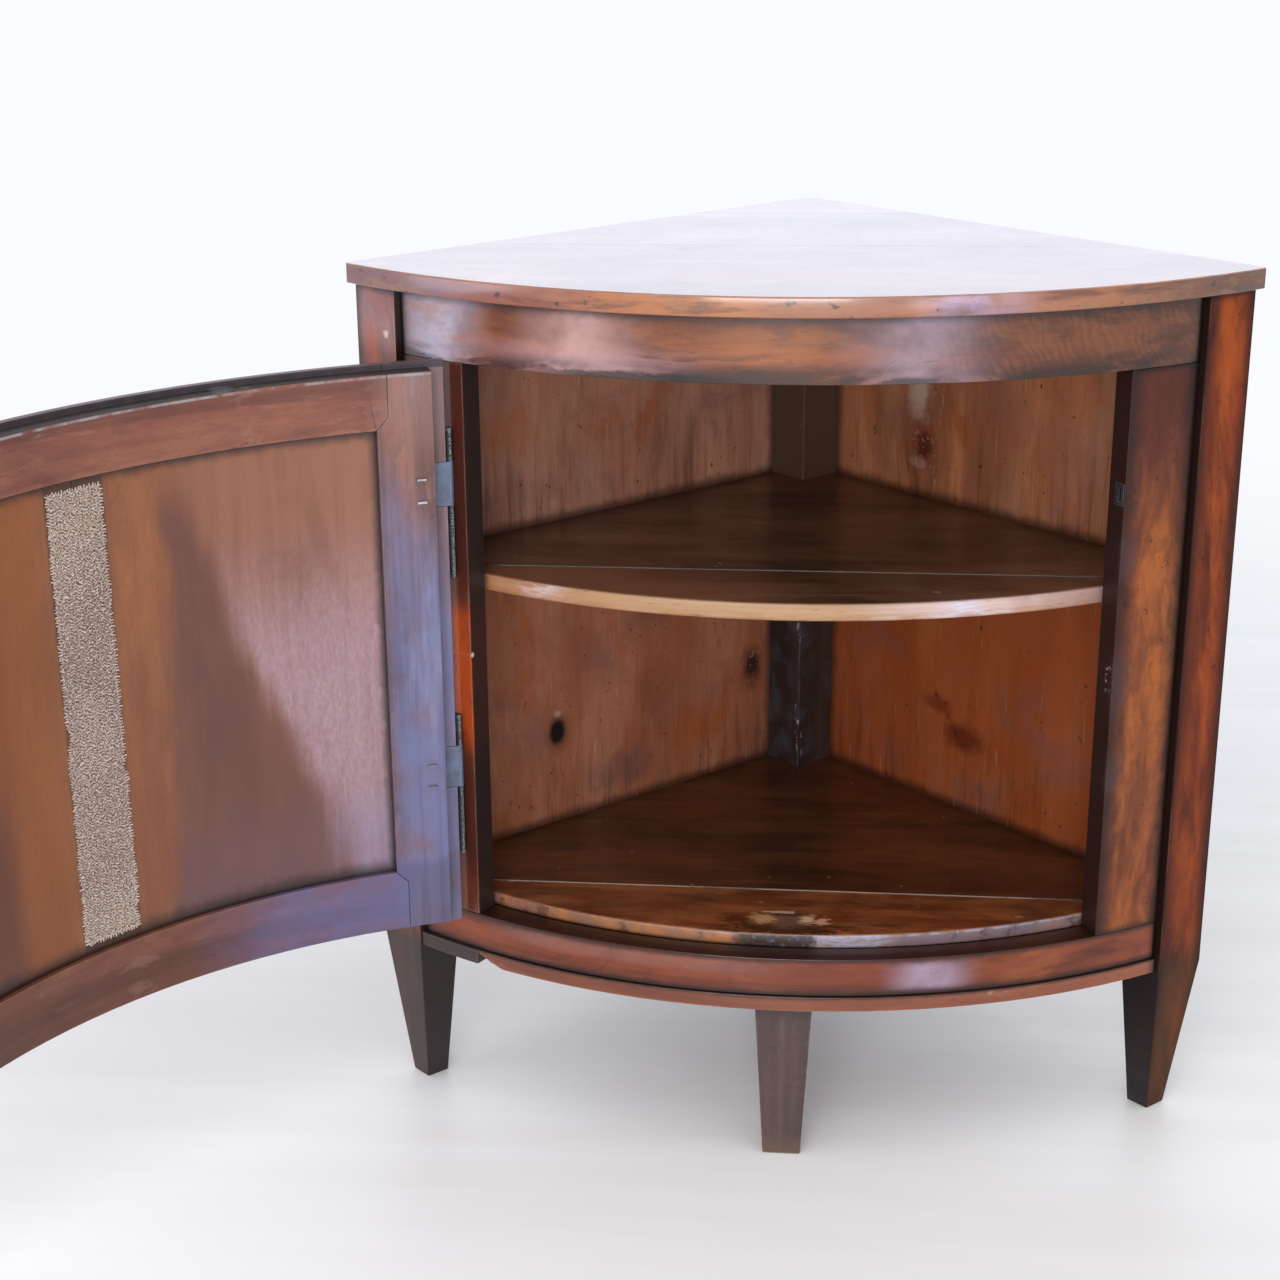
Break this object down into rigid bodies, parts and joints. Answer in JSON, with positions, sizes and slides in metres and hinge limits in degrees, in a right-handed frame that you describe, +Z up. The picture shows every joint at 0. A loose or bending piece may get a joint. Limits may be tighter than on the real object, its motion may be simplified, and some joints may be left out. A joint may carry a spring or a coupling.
{
  "type": "corner cupboard",
  "caption": "Bow-front corner cupboard on tapered feet, with a shelf behind one bowed, lipped and panelled door that stands open.",
  "frame": {"origin": "centre of the rear foot's underside, on the floor", "axes": "+Z up, -Y towards the bowed front, +X to the right of someone facing the front"},
  "size_m": [1.261, 1.0301, 0.899],
  "materials": {
    "walnut": "polished reddish walnut",
    "dark_walnut": "darkened walnut",
    "top_walnut": "glossy polished walnut",
    "inner_wood": "stained softwood",
    "shelf_wood": "dark worn walnut",
    "door_wood": "satin walnut",
    "panel_wood": "satin stained wood",
    "linen": "coarse unbleached linen",
    "iron": "old blue-grey iron",
    "brass": "dull brass"
  },
  "bodies": {
    "carcass": {"frieze_rail": "walnut", "bottom_rail": "walnut", "base_strip": "walnut", "left_stile": "walnut", "right_stile": "walnut", "left_post": "walnut", "right_post": "walnut", "centre_foot": "walnut", "base_strip_left_block": "dark_walnut", "rear_post": "dark_walnut", "top_front_board": "top_walnut", "top_middle_board": "top_walnut", "top_rear_board": "top_walnut", "left_wall_rear_board": "inner_wood", "left_wall_front_board": "inner_wood", "right_wall_rear_board": "inner_wood", "right_wall_front_board": "inner_wood", "shelf_front_board": "shelf_wood", "shelf_middle_board": "shelf_wood", "shelf_rear_board": "shelf_wood", "shelf_left_bearer": "shelf_wood", "shelf_right_bearer": "shelf_wood", "floor_front_board": "shelf_wood", "floor_middle_board": "shelf_wood", "floor_rear_board": "shelf_wood", "floor_left_bearer": "shelf_wood", "floor_right_bearer": "shelf_wood", "floor_front_bearer": "shelf_wood", "upper_hinge_frame_leaf": "iron", "upper_hinge_pin": "iron", "upper_hinge_frame_nail_1": "iron", "upper_hinge_frame_nail_2": "iron", "lower_hinge_frame_leaf": "iron", "lower_hinge_pin": "iron", "lower_hinge_frame_nail_1": "iron", "lower_hinge_frame_nail_2": "iron", "keeper_plate": "iron"},
    "door": {"door_hinge_stile": "door_wood", "door_lock_stile": "door_wood", "door_top_rail": "door_wood", "door_bottom_rail": "door_wood", "door_panel_hinge_board": "panel_wood", "door_panel_lock_board": "panel_wood", "linen_strip": "linen", "escutcheon": "brass", "upper_hinge_door_leaf": "iron", "upper_hinge_door_nail_1": "iron", "upper_hinge_door_nail_2": "iron", "lower_hinge_door_leaf": "iron", "lower_hinge_door_nail_1": "iron", "lower_hinge_door_nail_2": "iron", "lock_case": "iron"},
    "bolt": {"lock_bolt": "iron"},
    "key": {"key": "iron"}
  },
  "joints": [
    {"name": "door_hinge", "type": "hinge", "parent": "carcass", "child": "door", "pos_m": [-0.33709, -0.47519, 0.52], "axis": [0, 0, 1], "range_deg": [-26.5, 130.5]},
    {"name": "bolt_slide", "type": "slide", "parent": "door", "child": "bolt", "axis": [-0.2483, -0.9687, 0], "range_m": [0, 0.008]},
    {"name": "key_turn", "type": "hinge", "parent": "door", "child": "key", "pos_m": [-0.74228, -0.9488, 0.67591], "axis": [0.9687, -0.2483, 0], "range_deg": [0, 180]}
  ],
  "couplings": [
    {"joint": "bolt_slide", "follows": "key_turn", "m_per_rad": 0.002546}
  ]
}
